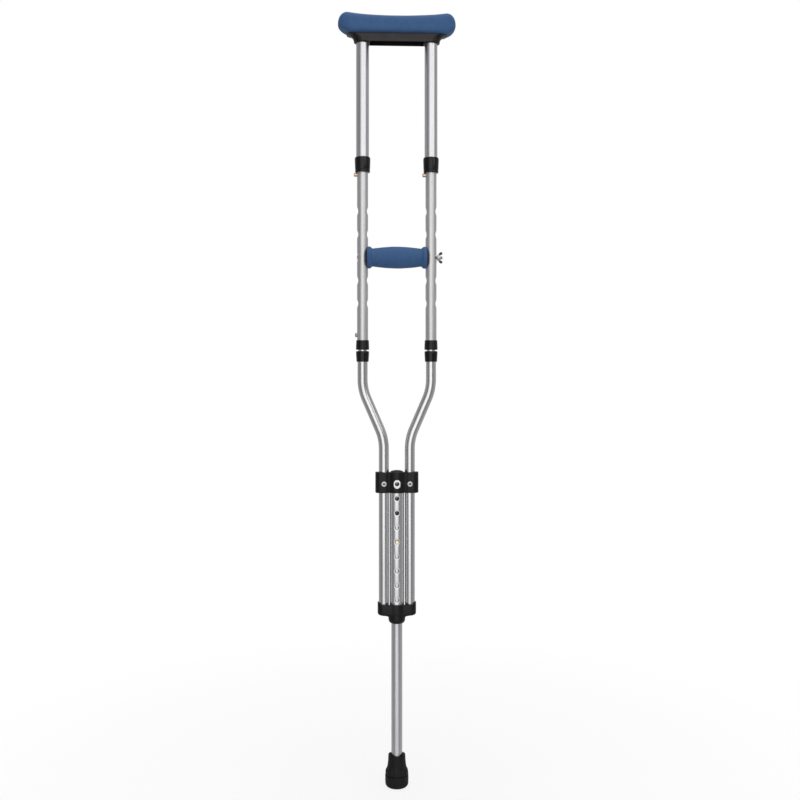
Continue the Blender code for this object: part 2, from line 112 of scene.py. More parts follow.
# ---- sizes of what the fine meshes add ----
GAP = 0.0003             # between two pieces that fit together
WALL = 0.0012
CENTRE_WALL = 0.0014
BOW_WALL = 0.00085
VERY_FINE = 144          # sides of a pressed or carved soft piece
FINE = 96                # sides of a fine round piece
MEDIUM = 64
SMALL = 32
HOLE_PITCH = 0.025       # height holes in the centre tube
HOLE_RADIUS = 0.0039
GRIP_PITCH = 0.040       # grip holes in the mid tubes
GRIP_HOLE_RADIUS = 0.0033
STUD_RADIUS = 0.0035
LEG_STUD_RADIUS = 0.0035
DIMPLE = (0.0078, 0.0014)        # reach and depth of a grip hole's pressed dimple
CENTRE_DIMPLE = (0.0060, 0.0005)
FLAT_REACH, FLAT_DEPTH = 0.0098, 0.0113      # the flat round the centre tube's top hole
RIVET_HOLE = 0.0028
CUT_PAST = 0.01          # how far a cutter goes past what it cuts
CUT_REACH = 0.03         # half the length of a cutter through a whole tube

HERE = Matrix.Identity(4)
ALONG_X = Matrix.Rotation(pi / 2, 4, "Y")
ALONG_FRONT = Matrix.Rotation(pi / 2, 4, "X")
OUTWARD = Matrix.Rotation(-pi / 2, 4, "Y")
SIDES = ((-1, "left"), (1, "right"))
JOINTS = {joint["name"]: joint for joint in frame["record"]["behaviour"]["joints"]}


def at(x=0.0, y=0.0, z=0.0):
    return Matrix.Translation((x, y, z))


def rivet_place(side):
    return at(side * LEG_SPREAD, 0, RIVET_Z) @ ALONG_FRONT


# ---- mesh helpers ----
def eased(t):
    t = min(1.0, max(0.0, t))
    return t * t * (3 - 2 * t)


def softened(outline, radius=0.0004, steps=3, closed=True):
    """The outline with each corner rounded off, except where it meets the axis."""
    points = [Vector((*p, 0)) for p in outline]
    count = len(points)
    result = []
    for k, corner in enumerate(points):
        ends = not closed and k in (0, count - 1)
        if ends or corner.x < 1e-6:
            result.append((corner.x, corner.y))
            continue
        before, after = points[k - 1] - corner, points[(k + 1) % count] - corner
        reach = min(radius, 0.45 * before.length, 0.45 * after.length)
        start = corner + before.normalized() * reach
        end = corner + after.normalized() * reach
        for step in range(steps + 1):
            t = step / steps
            point = start * (1 - t) ** 2 + corner * 2 * t * (1 - t) + end * t ** 2
            result.append((point.x, point.y))
    return result


def lofted(rings, place=HERE, closed=True):
    """A bmesh through rings of points; closed joins the last ring to the first."""
    bm = bmesh.new()
    made = [[bm.verts.new(p) for p in ring] for ring in rings]
    pairs = list(zip(made, made[1:]))
    if closed:
        pairs.append((made[-1], made[0]))
    for first, second in pairs:
        for k in range(len(first)):
            after = (k + 1) % len(first)
            bm.faces.new((first[k], first[after], second[after], second[k]))
    bmesh.ops.remove_doubles(bm, verts=bm.verts, dist=1e-7)
    bmesh.ops.recalc_face_normals(bm, faces=bm.faces)
    bm.transform(place)
    return bm


def capped(rings, place=HERE):
    """A closed bmesh through rings of vectors, each end drawn in to its middle."""
    ends = [[sum(ring, Vector()) / len(ring)] * len(ring) for ring in (rings[0], rings[-1])]
    return lofted([ends[0]] + rings + [ends[1]], place, closed=False)


def rounded_rectangle(half_x, half_y, corner, z, per_corner=8):
    points = []
    for quadrant, (sx, sy) in enumerate(((1, 1), (-1, 1), (-1, -1), (1, -1))):
        for k in range(per_corner + 1):
            a = pi / 2 * (quadrant + k / per_corner)
            points.append(Vector((sx * (half_x - corner) + corner * cos(a),
                                  sy * (half_y - corner) + corner * sin(a), z)))
    return points


def block(half_x, half_y, corner, low, high, place=HERE):
    return capped([rounded_rectangle(half_x, half_y, corner, z) for z in (low, high)], place)


def turned(outline, sides=MEDIUM, place=HERE, closed=True):
    """A bmesh turned about the place's Z from (radius, height) points."""
    angles = np.arange(sides) * 2 * pi / sides
    rings = [[(r * cos(a), r * sin(a), h) for a in angles] for r, h in outline]
    return lofted(rings, place, closed)


def rod(radius, low, high, sides=SMALL, place=HERE):
    outline = [(0, low), (radius, low), (radius, high), (0, high)]
    return turned(outline, sides, place, closed=False)


def joined(shapes):
    whole = bmesh.new()
    for shape in shapes:
        scrap = bpy.data.meshes.new("scrap")
        shape.to_mesh(scrap)
        shape.free()
        whole.from_mesh(scrap)
        bpy.data.meshes.remove(scrap)
    return whole


def carved(bm, tools, operation="DIFFERENCE"):
    """The bmesh after a Boolean with each of the tools."""
    holder = bpy.data.objects.new("holder", bpy.data.meshes.new("holder"))
    cutter = bpy.data.objects.new("cutter", bpy.data.meshes.new("cutter"))
    bm.to_mesh(holder.data)
    bm.free()
    tool_mesh = joined(tools)
    tool_mesh.to_mesh(cutter.data)
    tool_mesh.free()
    for item in (holder, cutter):
        bpy.context.scene.collection.objects.link(item)
    step = holder.modifiers.new("cut", "BOOLEAN")
    step.operation = operation
    step.solver = "EXACT"
    step.object = cutter
    bpy.context.view_layer.update()
    result = bmesh.new()
    result.from_object(holder, bpy.context.evaluated_depsgraph_get())
    for item in (holder, cutter):
        mesh = item.data
        bpy.data.objects.remove(item)
        bpy.data.meshes.remove(mesh)
    return result


def piece(name, bm, finish, node, sharp=40):
    """A finished piece that stands for a CAD node, with its body and its finish's slot."""
    mesh = bpy.data.meshes.new(name)
    bm.to_mesh(mesh)
    bm.free()
    mesh.shade_smooth()
    mesh.set_sharp_from_angle(angle=radians(sharp))
    mesh.materials.append(finish)
    made = bpy.data.objects.new(name, mesh)
    bpy.context.scene.collection.objects.link(made)
    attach(made, body_of(frame["nodes"][node])[0])
    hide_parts(node)
    return made


# ---- materials ----
def new_node(tree, kind, **settings):
    """A node with its inputs or properties set by name."""
    made = tree.nodes.new(kind)
    for key, value in settings.items():
        if key in made.inputs:
            made.inputs[key].default_value = value
        else:
            setattr(made, key, value)
    return made


class Finish:
    """A Principled material whose textures are laid out in the row frame."""

    def __init__(self, name, colour, roughness, metallic=0.0):
        self.material = bpy.data.materials.new(name)
        self.material.use_nodes = True
        self.tree = self.material.node_tree
        self.shader = self.tree.nodes["Principled BSDF"]
        self.shader.inputs["Base Color"].default_value = (*colour, 1)
        self.shader.inputs["Roughness"].default_value = roughness
        self.shader.inputs["Metallic"].default_value = metallic
        self.colour = colour
        self.place = self.node("ShaderNodeTexCoord").outputs["Object"]

    def node(self, kind, **settings):
        return new_node(self.tree, kind, **settings)

    def link(self, output, socket):
        self.tree.links.new(output, socket)

    def noise(self, scale, stretch=(1, 1, 1), detail=3.0, rough=0.55):
        """A noise value from 0 to 1, stretched along the axes."""
        mapping = self.node("ShaderNodeMapping", Scale=stretch)
        self.link(self.place, mapping.inputs["Vector"])
        made = self.node("ShaderNodeTexNoise", Scale=scale, Detail=detail, Roughness=rough)
        self.link(mapping.outputs["Vector"], made.inputs["Vector"])
        return made.outputs["Fac"]

    def spread(self, value, low, high, from_low=0.3, from_high=0.7):
        made = self.node("ShaderNodeMapRange")
        for key, number in (("From Min", from_low), ("From Max", from_high),
                            ("To Min", low), ("To Max", high)):
            made.inputs[key].default_value = number
        self.link(value, made.inputs["Value"])
        return made.outputs["Result"]

    def mottle(self, value, dark, light):
        """Base colour from a dark to a light share of the finish's colour, by a value."""
        made = self.node("ShaderNodeMix", data_type="RGBA")
        made.inputs[6].default_value = (*scaled(self.colour, dark), 1)
        made.inputs[7].default_value = (*scaled(self.colour, light), 1)
        self.link(self.spread(value, 0.0, 1.0), made.inputs["Factor"])
        self.link(made.outputs[2], self.shader.inputs["Base Color"])

    def rough(self, value):
        self.link(value, self.shader.inputs["Roughness"])

    def bump(self, value, distance, strength=1.0, after=None):
        made = self.node("ShaderNodeBump", Distance=distance, Strength=strength)
        self.link(value, made.inputs["Height"])
        if after is not None:
            self.link(after, made.inputs["Normal"])
        self.link(made.outputs["Normal"], self.shader.inputs["Normal"])
        return made.outputs["Normal"]


def scaled(colour, factor):
    return tuple(min(1.0, c * factor) for c in colour)


def aluminium(name, colour, roughness, streak, metallic=1.0):
    """Drawn tube: lengthwise drawing lines, a soft cloudiness and a few rubbed patches."""
    made = Finish(name, colour, roughness, metallic)
    lines = made.noise(900, (1, 1, 0.012), 4.0)
    cloud = made.noise(28, (1, 1, 0.5))
    made.mottle(cloud, 0.97, 1.03)
    mixed = made.node("ShaderNodeMath", operation="MULTIPLY_ADD")
    made.link(lines, mixed.inputs[0])
    mixed.inputs[1].default_value = streak
    made.link(made.spread(cloud, roughness - 0.01 - streak / 2, roughness + 0.01 - streak / 2),
              mixed.inputs[2])
    made.rough(mixed.outputs[0])
    return made.material


def plastic(name, colour, roughness, specular, grain=0.00002):
    """Moulded plastic: fine spark-eroded grain with faint flow marks."""
    made = Finish(name, colour, roughness)
    made.shader.inputs["Specular IOR Level"].default_value = specular
    flow = made.noise(60)
    grit = made.noise(4200, detail=2.0)
    made.mottle(flow, 0.85, 1.25)
    made.rough(made.spread(flow, roughness - 0.05, roughness + 0.06))
    made.bump(grit, grain, 0.6)
    return made.material


def foam(name, colour):
    """Soft skinned foam: mottled colour, fine closed cells and slow undulation."""
    made = Finish(name, colour, 0.62)
    made.shader.inputs["Sheen Weight"].default_value = 0.06
    made.shader.inputs["Sheen Roughness"].default_value = 0.5
    made.shader.inputs["Specular IOR Level"].default_value = 0.20
    mottle = made.noise(120, detail=4.0)
    made.mottle(mottle, 0.92, 1.08)
    made.rough(made.spread(mottle, 0.56, 0.70))
    swell = made.bump(made.noise(220, detail=2.0), 0.00025, 0.15)
    cells = made.node("ShaderNodeTexVoronoi", Scale=2600.0)
    made.link(made.place, cells.inputs["Vector"])
    made.bump(cells.outputs["Distance"], 0.00005, 0.45, swell)
    return made.material


def rubber(name, colour):
    """Moulded rubber: dusty, with scuffs and a slightly chalky variation."""
    made = Finish(name, colour, 0.6)
    made.shader.inputs["Specular IOR Level"].default_value = 0.20
    dust = made.noise(75, detail=5.0)
    grit = made.noise(1500)
    made.mottle(dust, 0.8, 1.5)
    made.rough(made.spread(dust, 0.42, 0.62))
    made.bump(grit, 0.00014, 0.5)
    return made.material


def bright_metal(name, colour, roughness, metallic=1.0):
    """Small turned or pressed fittings: fine random scratches and a little tarnish."""
    made = Finish(name, colour, roughness, metallic)
    tarnish = made.noise(420, detail=4.0)
    scratch = made.noise(3000, (1, 0.15, 1))
    made.mottle(tarnish, 0.8, 1.06)
    made.rough(made.spread(tarnish, roughness - 0.05, roughness + 0.12))
    made.bump(scratch, 0.00001, 0.5)
    return made.material


SATIN = aluminium("satin_aluminium", (0.66, 0.66, 0.67), 0.30, 0.02)
MATT = aluminium("matt_aluminium", (0.63, 0.63, 0.635), 0.38, 0.02, 0.86)
POLISHED = aluminium("polished_aluminium", (0.67, 0.67, 0.675), 0.20, 0.02)
BLACK = plastic("black_plastic", (0.0100, 0.0086, 0.0086), 0.30, 0.22)
GLOSSY = plastic("glossy_black_plastic", (0.0045, 0.0038, 0.0040), 0.17, 0.34)
BROWN = plastic("bracket_plastic", (0.041, 0.036, 0.038), 0.48, 0.22)
BLUE = foam("blue_foam", (0.045, 0.113, 0.256))
RUBBER = rubber("tip_rubber", (0.0082, 0.0086, 0.0082))
BRASS = bright_metal("brass", (0.68, 0.53, 0.31), 0.24)
# Lit and shaded copies of the brass: the paler one is a painted highlight, the darker one is painted
# shade.
LIT_BRASS = bright_metal("lit_brass", (0.88, 0.78, 0.56), 0.22)
SHADED_BRASS = bright_metal("shaded_brass", (0.40, 0.36, 0.31), 0.40)
ZINC = bright_metal("zinc_steel", (0.60, 0.60, 0.595), 0.30)
# Dark steel for the wing nut's wings: painted shade.
SHADED_STEEL = bright_metal("wing_shade_steel", (0.085, 0.085, 0.088), 0.34)


# ---- tubes ----
def pressing(angle, height, radius, dimples):
    """How far the dimples push the wall in at a point of a tube."""
    total = 0.0
    for at_angle, at_height, reach, depth in dimples:
        turn = (angle - at_angle + pi) % (2 * pi) - pi
        t = sqrt((turn * radius) ** 2 + (height - at_height) ** 2) / reach
        flat = 0.42
        if t < flat:
            total += depth
        elif t < 1:
            total += depth * (0.5 + 0.5 * cos(pi * (t - flat) / (1 - flat)))
    return total


def ring_heights(low, high, dimples, coarse=0.02, fine=0.0009):
    """Heights of a tube's rings: close together over the dimples, and far apart elsewhere."""
    levels = set(np.linspace(low, high, max(2, int((high - low) / coarse) + 1)))
    for _, height, reach, _ in dimples:
        levels |= set(np.arange(height - reach, height + reach + fine / 2, fine))
    ordered = sorted(h for h in levels if low <= h <= high)
    kept = [ordered[0]]
    for level in ordered[1:]:
        if level - kept[-1] > 0.25 * fine:
            kept.append(level)
    return kept


def tube(outer, wall, low, high, x, dimples=(), sides=FINE):
    """A bmesh tube along Z with rolled edges and pressed dimples (angle, height, reach, depth)."""
    edge = 0.0003
    levels = ring_heights(low + edge, high - edge, dimples)
    angles = np.arange(sides) * 2 * pi / sides

    def ring(radius, height):
        points = []
        for a in angles:
            r = radius - pressing(a, height, outer, dimples)
            points.append((x + r * cos(a), r * sin(a), height))
        return points

    inner = outer - wall
    rings = [ring(outer - edge, low)]
    rings += [ring(outer, h) for h in levels]
    rings += [ring(outer - edge, high), ring(inner + edge, high)]
    rings += [ring(inner, h) for h in reversed(levels)]
    rings.append(ring(inner + edge, low))
    return lofted(rings)


def leg_tube():
    low, high = heights("leg_tube")
    body = tube(LEG_RADIUS, WALL, low, high, 0.0, sides=MEDIUM)
    hole = rod(HOLE_RADIUS, 0, 2 * LEG_RADIUS, place=at(0, 0, LEG_BUTTON_Z) @ ALONG_FRONT)
    piece("leg_tube_fine", carved(body, [hole]), SATIN, "leg_tube")


def height_holes():
    return [LEG_BUTTON_Z + k * HOLE_PITCH for k in range(-4, 5)]


def centre_tube():
    low, high = heights("centre_tube")
    dimples = [(1.5 * pi, z, *CENTRE_DIMPLE) for z in height_holes()]
    dimples.append((1.5 * pi, RIVET_Z, FLAT_REACH, 0.0))
    body = tube(CENTRE_RADIUS, CENTRE_WALL, low, high, 0.0, dimples, sides=112)
    for vert in body.verts:
        rise = eased((abs(vert.co.z - RIVET_Z) / FLAT_REACH - 0.8) / 0.2) * CENTRE_WALL
        outside = Vector((vert.co.x, vert.co.y)).length > CENTRE_RADIUS - CENTRE_WALL / 2
        limit = FLAT_DEPTH - (0.0 if outside else CENTRE_WALL) + rise
        vert.co.y = max(vert.co.y, -limit)
    holes = [rod(HOLE_RADIUS, 0, 2 * CENTRE_RADIUS, place=at(0, 0, z) @ ALONG_FRONT)
             for z in height_holes()]
    piece("centre_tube_fine", carved(body, holes), SATIN, "centre_tube")


def mid_tubes():
    low, high = heights("mid_tube_left")
    grip_holes = [GRIP_Z + k * GRIP_PITCH for k in range(-2, 3)]
    for side, name in SIDES:
        x = side * SPREAD
        dimples = [(a, z, *DIMPLE) for z in grip_holes for a in (0.0, pi)]
        body = tube(MID_RADIUS, WALL, low, high, x, dimples)
        reach = 2 * MID_RADIUS
        cuts = [rod(GRIP_HOLE_RADIUS, -reach, reach, place=at(x, 0, z) @ ALONG_X)
                for z in grip_holes]
        locks = [(f"upper_button_{name}_press", UPPER_BUTTON_Z)]
        locks += [("joint_button_press", JOINT_BUTTON_Z)] * (side < 0)
        cuts += [rod(STUD_RADIUS + GAP, 0, reach, place=lock_place(joint, x, z))
                 for joint, z in locks]
        piece("mid_tube_fine_" + name, carved(body, cuts), MATT, "mid_tube_" + name)


def upper_tubes():
    low, high = heights("upper_tube_left")
    for side, name in SIDES:
        body = tube(UPPER_RADIUS, WALL, low, high, side * SPREAD)
        piece("upper_tube_fine_" + name, body, SATIN, "upper_tube_" + name)


BEND_START = 0.705
BEND_RADIUS = 0.086
BEND_ANGLE = radians(23.4)


def bow_stations(steps=14):
    """(x, z, lean) of the right bow's middle line, from top to bottom."""
    low, high = heights("bow_tube_right")
    shift = BEND_RADIUS * (1 - cos(BEND_ANGLE))
    drop = BEND_RADIUS * sin(BEND_ANGLE)
    run = (SPREAD - LEG_SPREAD - 2 * shift) / tan(BEND_ANGLE)
    bend_end = BEND_START - 2 * drop - run
    leans = [BEND_ANGLE * k / steps for k in range(steps + 1)]
    path = [(SPREAD, high, 0.0)]
    path += [(SPREAD - BEND_RADIUS * (1 - cos(a)), BEND_START - BEND_RADIUS * sin(a), -a)
             for a in leans]
    path += [(LEG_SPREAD + BEND_RADIUS * (1 - cos(a)), bend_end + BEND_RADIUS * sin(a), -a)
             for a in reversed(leans)]
    path.append((LEG_SPREAD, low, 0.0))
    return path


def bows():
    angles = np.arange(MEDIUM) * 2 * pi / MEDIUM
    for side, name in SIDES:
        def ring(radius, station):
            x, z, lean = station
            lean *= side
            return [(side * x + radius * cos(a) * cos(lean), radius * sin(a),
                     z + radius * cos(a) * sin(lean)) for a in angles]
        path = bow_stations()
        rings = [ring(BOW_RADIUS, s) for s in path]
        rings += [ring(BOW_RADIUS - BOW_WALL, s) for s in reversed(path)]
        hole = rod(RIVET_HOLE, -CUT_REACH, CUT_REACH, place=rivet_place(side))
        piece("bow_tube_fine_" + name, carved(lofted(rings), [hole]), POLISHED, "bow_tube_" + name)
        low, high = heights("joiner_tube_" + name)
        body = tube(JOINER_RADIUS, WALL, low, high, side * SPREAD, sides=MEDIUM)
        if side < 0:
            hole = rod(STUD_RADIUS + GAP, 0, 2 * JOINER_RADIUS,
                       place=lock_place("joint_button_press", -SPREAD, JOINT_BUTTON_Z))
            body = carved(body, [hole])
        piece("joiner_tube_fine_" + name, body, POLISHED, "joiner_tube_" + name)


# ---- collars ----
def collars():
    upper_low, upper_high = heights("upper_collar_left")
    mid_low, mid_high = heights("mid_collar_left")
    bow_low, bow_high = heights("bow_collar_left")
    lip = 0.0012
    upper_bore, mid_bore = UPPER_RADIUS + GAP, MID_RADIUS + GAP
    joiner_bore, bow_bore = JOINER_RADIUS + GAP, BOW_RADIUS + GAP
    groove = upper_low + 0.0045
    upper = [(mid_bore, upper_low), (0.0124, upper_low), (0.0129, upper_low + 0.0008),
             (0.01295, groove - 0.0006), (0.0126, groove - 0.0003), (0.0126, groove + 0.0003),
             (0.0130, groove + 0.0006), (0.0136, upper_high - 0.0045),
             (0.0134, upper_high - 0.0018), (0.0128, upper_high - 0.0004),
             (0.0122, upper_high), (upper_bore, upper_high), (upper_bore, upper_low + 0.0022),
             (mid_bore, upper_low + 0.0022)]
    ribs = []
    count = 5
    first, last = mid_low + 0.0034, mid_high - 0.0034
    for k in range(count):
        z = first + (last - first) * k / (count - 1)
        r = 0.0116 - 0.0004 * k / (count - 1)
        ribs += [(r, z - 0.0008), (r - 0.00022, z - 0.0002), (r - 0.00022, z + 0.0002),
                 (r, z + 0.0008)]
    mid = [(joiner_bore, mid_low), (0.0108, mid_low), (0.0115, mid_low + 0.0011), *ribs,
           (0.0110, mid_high - 0.0008), (0.0106, mid_high), (mid_bore, mid_high),
           (mid_bore, mid_low + lip), (joiner_bore, mid_low + lip)]
    bow = [(bow_bore, bow_low), (0.0102, bow_low), (0.0106, bow_low + 0.0008),
           (0.0114, bow_high - 0.0026), (0.0110, bow_high - 0.0005), (0.0104, bow_high),
           (joiner_bore, bow_high), (joiner_bore, bow_high - lip), (bow_bore, bow_high - lip)]
    for side, name in SIDES:
        place = at(side * SPREAD)
        for label, outline in (("upper", upper), ("mid", mid), ("bow", bow)):
            shape = turned(softened(outline, 0.0005), MEDIUM, place)
            piece(f"{label}_collar_fine_{name}", shape, GLOSSY, f"{label}_collar_{name}")


# ---- brackets ----
TOP_FACE = 0.0128
TOP_CENTRE = 0.0162
BOTTOM_CENTRE = 0.0148
# Lobes: middle, half width, half depth and corner radius.
TOP_LOBES = [(side * 0.0245, 0.0128, TOP_FACE, 0.0092) for side in (-1, 1)]
BOTTOM_LOBES = [(0.0, 0.0333, 0.0124, 0.0102)]
VALLEY = 0.0015                  # how softly the lobes run into each other
SOFT_VALLEY = 0.0011
DIP_ENDS = (0.0285, 0.0330)      # where along X a bracket's rim climbs out of its dip


def box_distance(x, y, centre, half_x, half_y, corner):
    """Signed distance to a rounded box in the XY plane."""
    dx = np.abs(x - centre) - (half_x - corner)
    dy = np.abs(y) - (half_y - corner)
    outside = np.hypot(np.maximum(dx, 0), np.maximum(dy, 0))
    return outside + np.minimum(np.maximum(dx, dy), 0) - corner


def lobed_radius(angles, inset, centre_radius, boxes, blend):
    """Distance from Z to the outline round a circle and boxes at each angle, less an inset."""
    low, high = np.zeros_like(angles), np.full_like(angles, 0.06)
    for _ in range(40):
        trial = (low + high) / 2
        x, y = trial * np.cos(angles), trial * np.sin(angles)
        parts = [np.hypot(x, y) - centre_radius] + [box_distance(x, y, *box) for box in boxes]
        field = -blend * np.log(sum(np.exp(-p / blend) for p in parts)) + inset
        low = np.where(field < 0, trial, low)
        high = np.where(field < 0, high, trial)
    return low


def lobed_angles(count=200):
    """Angles that crowd towards the two side lobes, where the outline is far from the middle."""
    crowding = 0.30
    t = np.arange(count) * 2 * pi / count
    return t - crowding * np.sin(2 * t)


def lobed_ring(radii, angles, z, dip=0.0):
    """A ring of points; a dip lowers it everywhere but at its two far ends."""
    points = []
    for r, a, level in zip(radii, angles, np.broadcast_to(z, angles.shape)):
        x = r * cos(a)
        along = (abs(x) - DIP_ENDS[0]) / (DIP_ENDS[1] - DIP_ENDS[0])
        points.append((x, r * sin(a), level - dip * (1 - eased(along))))
    return points


def quarter(radius, steps=4):
    """(inset, rise) steps of a rounded edge, from the side wall to the flat end."""
    return [(radius * (1 - cos(a)), radius * sin(a))
            for a in np.linspace(0, pi / 2, steps + 1)]


def bored_for_bows(body, low, high):
    """The body with a bore for each bow; one carving each, as cutters must not meet."""
    for side in (-1, 1):
        body = carved(body, [rod(BOW_RADIUS + GAP, low, high, MEDIUM, at(side * LEG_SPREAD))])
    return body


def top_bracket():
    lowered, edge = 0.0007, 0.0012
    sag, bow_reach, back_sag, back_reach = 0.0011, 0.0095, 2.6, 0.011
    low, high = heights("top_bracket")
    low -= lowered
    angles = lobed_angles()

    def ring(inset, z, sag=0.0):
        radii = lobed_radius(angles, inset, TOP_CENTRE, TOP_LOBES, VALLEY)
        share = np.array([eased(1 - abs(abs(r * cos(a)) - LEG_SPREAD) / bow_reach)
                          + back_sag * eased(r * sin(a) / back_reach)
                          for r, a in zip(radii, angles)])
        return lobed_ring(radii, angles, z - sag * share)

    rings = [[(0, 0, low)] * len(angles)]
    rings += [ring(inset, low + edge - rise) for inset, rise in reversed(quarter(edge))]
    rings += [ring(inset, high - edge + rise, sag) for inset, rise in quarter(edge)]
    rings.append([(0, 0, high)] * len(angles))
    body = lofted(rings, closed=False)
    bore, mouth = CENTRE_RADIUS + GAP, 0.0136
    outline = [(0, low - CUT_PAST), (bore, low - CUT_PAST), (bore, high - 0.0008),
               (mouth, high + 0.0001), (mouth, high + CUT_PAST), (0, high + CUT_PAST)]
    body = bored_for_bows(carved(body, [turned(outline, MEDIUM, closed=False)]), low - CUT_PAST,
                          high + CUT_PAST)
    inner, outer, inside, stretch = 0.0064, 0.0073, 0.0108, 1.15
    window = turned([(0, inside), (inner, inside), (inner + 0.0002, 0.0150), (outer, 0.0166),
                     (outer, CUT_REACH), (0, CUT_REACH)], MEDIUM, closed=False)
    window.transform(at(0, 0, RIVET_Z - 0.0004) @ ALONG_FRONT @ Matrix.Diagonal((1, stretch, 1, 1)))
    seat, out = TOP_FACE - 0.0012, TOP_FACE + 0.004
    half = [(RIVET_HOLE, seat), (0.0056, seat), (0.0060, out), (0, out)]
    spool = [(r, -h) for r, h in reversed(half)] + half
    spools = [turned(spool, SMALL, rivet_place(side), closed=False) for side in (-1, 1)]
    body = carved(body, [window] + spools)
    piece("top_bracket_fine", body, BLACK, "top_bracket", sharp=32)


def rivets():
    face = TOP_FACE - 0.0012
    outline = [(0.0014, -face - 0.0010), (0.0044, -face - 0.0010), (0.0046, -face - 0.0002),
               (0.0025, -face), (0.0025, face), (0.0050, face + 0.0001), (0.0051, face + 0.0005),
               (0.0044, face + 0.0013), (0.0030, face + 0.0016), (0.0019, face + 0.0013),
               (0.0014, face + 0.0004)]
    for side, name in SIDES:
        shape = turned(softened(outline, 0.0003), SMALL, rivet_place(side))
        piece("bracket_rivet_fine_" + name, shape, ZINC, "bracket_rivet_" + name)


def centre_cap():
    lowered, rim_inset, rise = 0.0014, 0.0014, 0.0034
    low, high = heights("centre_tube_cap")
    high -= lowered
    tube_top = heights("centre_tube")[HIGH]
    plug, rim = CENTRE_RADIUS - CENTRE_WALL - GAP, CENTRE_RADIUS - rim_inset
    dome = [(rim * cos(a), high - rise * (1 - sin(a))) for a in np.linspace(0.0, pi / 2, 9)]
    outline = [(0, low), (plug - 0.0008, low), (plug, low + 0.0008), (plug, tube_top + GAP),
               (rim, tube_top + GAP), *dome[:-1], (0, high)]
    piece("centre_tube_cap_fine", turned(outline, MEDIUM, closed=False), BLACK, "centre_tube_cap")


def bottom_bracket():
    bottom, high = heights("bottom_bracket")
    lobe_low = 0.2958
    angles = lobed_angles()
    edge, fillet, sleeve, nose = 0.0040, 0.0050, 0.0146, (0.0052, 0.0074)
    dip, slope, slope_reach, rim = 0.0028, 0.0014, 0.016, 0.0006

    def outline(inset):
        return lobed_radius(angles, inset, BOTTOM_CENTRE, BOTTOM_LOBES, SOFT_VALLEY)

    def rounds(radius):
        return np.full_like(angles, radius)

    rings = [lobed_ring(rounds(0.0), angles, bottom)]
    rings += [lobed_ring(rounds(sleeve - nose[0] * (1 - sin(a))), angles,
                         bottom + nose[1] * (1 - cos(a))) for a in np.linspace(0.0, pi / 2, 9)]
    floor = outline(edge)
    for inset, rise in quarter(fillet, 6):
        radius = np.minimum(sleeve + inset, np.maximum(floor, sleeve))
        rings.append(lobed_ring(radius, angles, lobe_low - fillet + rise))
    for inset, rise in reversed(quarter(edge, 7)):
        radius = np.maximum(outline(inset), sleeve)
        lift = slope * np.clip((radius - sleeve) / slope_reach, 0, 1)
        rings.append(lobed_ring(radius, angles, lobe_low + edge - rise + 0.0001 + lift))
    rings += [lobed_ring(outline(inset), angles, high - rim + rise, dip)
              for inset, rise in quarter(rim, 3)]
    rings.append(lobed_ring(rounds(0.0), angles, high, dip))
    body = lofted(rings, closed=False)
    seat = heights("centre_tube")[LOW] - GAP
    bow_floor = heights("bow_tube_left")[LOW] - GAP
    leg_bore, bore = LEG_RADIUS + GAP, CENTRE_RADIUS + GAP
    stepped = [(0, bottom - CUT_PAST), (leg_bore, bottom - CUT_PAST), (leg_bore, seat),
               (bore, seat), (bore, high + CUT_PAST), (0, high + CUT_PAST)]
    body = bored_for_bows(carved(body, [turned(stepped, MEDIUM, closed=False)]), bow_floor,
                          high + CUT_PAST)
    half_width, slot_depth, back_depth, back_start = 0.0215, 0.0104, 0.0150, 0.0010
    slot = block(half_width, slot_depth, 0.0030, high - 0.0110, high + CUT_PAST)
    back = block(half_width, back_depth, 0.0020, high - 0.0095, high + CUT_PAST,
                 at(0, back_depth + back_start, 0))
    body = carved(carved(body, [slot]), [back])
    piece("bottom_bracket_fine", body, BLACK, "bottom_bracket", sharp=32)


